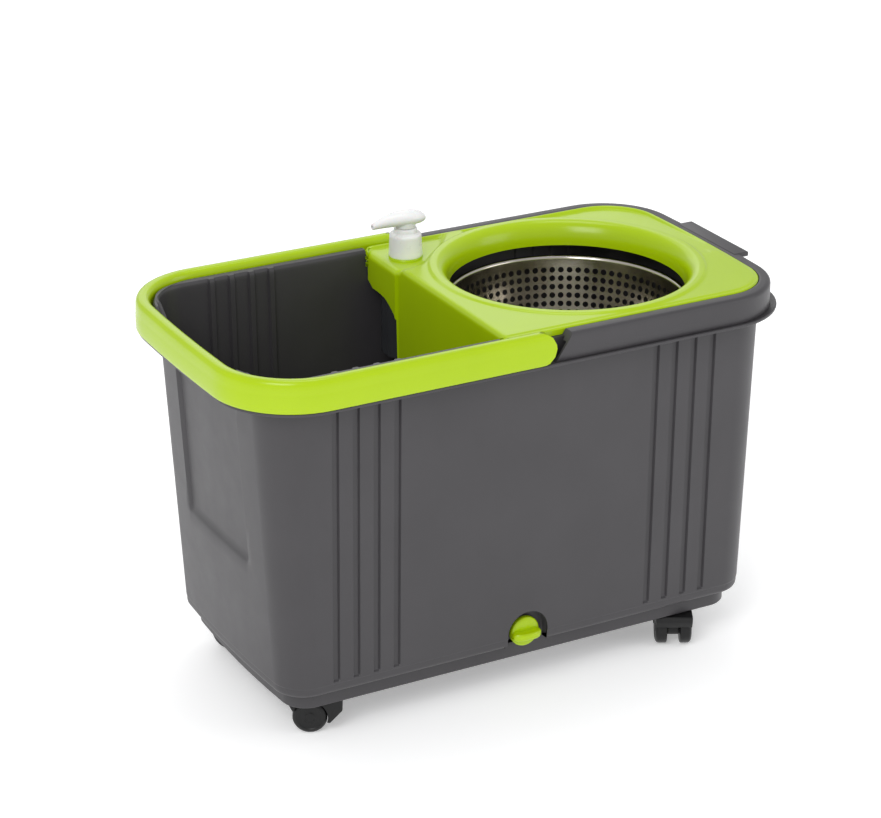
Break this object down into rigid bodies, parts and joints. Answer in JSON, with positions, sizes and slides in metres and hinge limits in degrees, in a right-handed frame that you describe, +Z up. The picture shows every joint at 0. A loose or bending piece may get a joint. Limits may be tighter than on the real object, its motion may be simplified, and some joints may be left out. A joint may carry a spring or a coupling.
{
  "type": "spin mop bucket",
  "caption": "Wheeled spin mop bucket: open bath with a swinging bail, lift-out splash insert with soap pump, spinning wringer basket and screw drain plug.",
  "frame": {"origin": "on the floor under the middle of the bounding box", "axes": "+X from the open bath towards the spinning basket, +Y from the drain plug's side towards the back, +Z up"},
  "size_m": [0.5539, 0.298, 0.3969],
  "materials": {
    "grey_plastic": "fine satin",
    "lime_plastic": "glossy",
    "polished_steel": "polished",
    "white_plastic": "glossy",
    "black_plastic": "satin",
    "steel_pin": "brushed",
    "smoked_plastic": "glossy, dark and translucent",
    "seal_rubber": "matt"
  },
  "bodies": {
    "bucket_body": {"bucket": "grey_plastic", "spindle_post": "grey_plastic", "spindle": "steel_pin", "post_screws": "steel_pin"},
    "bail": {"handle": "lime_plastic"},
    "insert": {"splash_insert": "lime_plastic", "soap_bottle": "smoked_plastic", "bottle_gasket": "seal_rubber", "pump_closure": "white_plastic", "pump_housing": "white_plastic", "inlet_ball": "steel_pin", "dip_tube": "white_plastic"},
    "pump_swivel": {"pump_spring": "steel_pin"},
    "pump_press": {"pump_stem": "white_plastic", "pump_head": "white_plastic"},
    "basket": {"spin_basket": "polished_steel", "basket_hub": "white_plastic", "hub_bush": "white_plastic"},
    "plug_seal": {"drain_seal": "seal_rubber"},
    "plug": {"drain_plug": "lime_plastic"},
    "caster_1": {"caster_1_hood": "black_plastic", "caster_1_stem": "steel_pin", "caster_1_axle": "steel_pin"},
    "caster_1_roll_a": {"caster_1_wheel_a": "black_plastic"},
    "caster_1_roll_b": {"caster_1_wheel_b": "black_plastic"},
    "caster_2": {"caster_2_hood": "black_plastic", "caster_2_stem": "steel_pin", "caster_2_axle": "steel_pin"},
    "caster_2_roll_a": {"caster_2_wheel_a": "black_plastic"},
    "caster_2_roll_b": {"caster_2_wheel_b": "black_plastic"},
    "caster_3": {"caster_3_hood": "black_plastic", "caster_3_stem": "steel_pin", "caster_3_axle": "steel_pin"},
    "caster_3_roll_a": {"caster_3_wheel_a": "black_plastic"},
    "caster_3_roll_b": {"caster_3_wheel_b": "black_plastic"},
    "caster_4": {"caster_4_hood": "black_plastic", "caster_4_stem": "steel_pin", "caster_4_axle": "steel_pin"},
    "caster_4_roll_a": {"caster_4_wheel_a": "black_plastic"},
    "caster_4_roll_b": {"caster_4_wheel_b": "black_plastic"}
  },
  "joints": [
    {"name": "bail_swing", "type": "hinge", "parent": "bucket_body", "child": "bail", "pos_m": [-0.002, 0, 0.3448], "axis": [0, 1, 0], "range_deg": [0, 120]},
    {"name": "insert_lift", "type": "slide", "parent": "bucket_body", "child": "insert", "axis": [0, 0, 1], "range_m": [0, 0.156]},
    {"name": "pump_turn", "type": "hinge", "parent": "insert", "child": "pump_swivel", "pos_m": [-0.005, 0.096, 0.38], "axis": [0, 0, 1], "continuous": true},
    {"name": "pump_stroke", "type": "slide", "parent": "pump_swivel", "child": "pump_press", "axis": [0, 0, 1], "range_m": [0, 0.012], "deforming": ["pump_spring"]},
    {"name": "basket_spin", "type": "hinge", "parent": "bucket_body", "child": "basket", "pos_m": [0.11, 0, 0.3], "axis": [0, 0, 1], "continuous": true},
    {"name": "plug_travel", "type": "slide", "parent": "bucket_body", "child": "plug_seal", "axis": [0, -1, 0], "range_m": [0, 0.0076]},
    {"name": "plug_turn", "type": "hinge", "parent": "plug_seal", "child": "plug", "pos_m": [0.004, -0.11, 0.0606], "axis": [0, -1, 0], "range_deg": [0, 540]},
    {"name": "caster_1_swivel", "type": "hinge", "parent": "bucket_body", "child": "caster_1", "pos_m": [-0.18056, -0.08404, 0.034], "axis": [0, 0, 1], "continuous": true},
    {"name": "caster_1_roll_a", "type": "hinge", "parent": "caster_1", "child": "caster_1_roll_a", "pos_m": [-0.19292, -0.07747, 0.0155], "axis": [-0.4695, -0.8829, 0], "continuous": true},
    {"name": "caster_1_roll_b", "type": "hinge", "parent": "caster_1", "child": "caster_1_roll_b", "pos_m": [-0.19292, -0.07747, 0.0155], "axis": [-0.4695, -0.8829, 0], "continuous": true},
    {"name": "caster_2_swivel", "type": "hinge", "parent": "bucket_body", "child": "caster_2", "pos_m": [0.18056, -0.08404, 0.034], "axis": [0, 0, 1], "continuous": true},
    {"name": "caster_2_roll_a", "type": "hinge", "parent": "caster_2", "child": "caster_2_roll_a", "pos_m": [0.17399, -0.0964, 0.0155], "axis": [0.8829, -0.4695, 0], "continuous": true},
    {"name": "caster_2_roll_b", "type": "hinge", "parent": "caster_2", "child": "caster_2_roll_b", "pos_m": [0.17399, -0.0964, 0.0155], "axis": [0.8829, -0.4695, 0], "continuous": true},
    {"name": "caster_3_swivel", "type": "hinge", "parent": "bucket_body", "child": "caster_3", "pos_m": [-0.18056, 0.08404, 0.034], "axis": [0, 0, 1], "continuous": true},
    {"name": "caster_3_roll_a", "type": "hinge", "parent": "caster_3", "child": "caster_3_roll_a", "pos_m": [-0.18713, 0.0964, 0.0155], "axis": [-0.8829, -0.4695, 0], "continuous": true},
    {"name": "caster_3_roll_b", "type": "hinge", "parent": "caster_3", "child": "caster_3_roll_b", "pos_m": [-0.18713, 0.0964, 0.0155], "axis": [-0.8829, -0.4695, 0], "continuous": true},
    {"name": "caster_4_swivel", "type": "hinge", "parent": "bucket_body", "child": "caster_4", "pos_m": [0.18056, 0.08404, 0.034], "axis": [0, 0, 1], "continuous": true},
    {"name": "caster_4_roll_a", "type": "hinge", "parent": "caster_4", "child": "caster_4_roll_a", "pos_m": [0.19292, 0.09061, 0.0155], "axis": [-0.4695, 0.8829, 0], "continuous": true},
    {"name": "caster_4_roll_b", "type": "hinge", "parent": "caster_4", "child": "caster_4_roll_b", "pos_m": [0.19292, 0.09061, 0.0155], "axis": [-0.4695, 0.8829, 0], "continuous": true}
  ],
  "couplings": [
    {"joint": "plug_travel", "follows": "plug_turn", "m_per_rad": 0.000796}
  ]
}
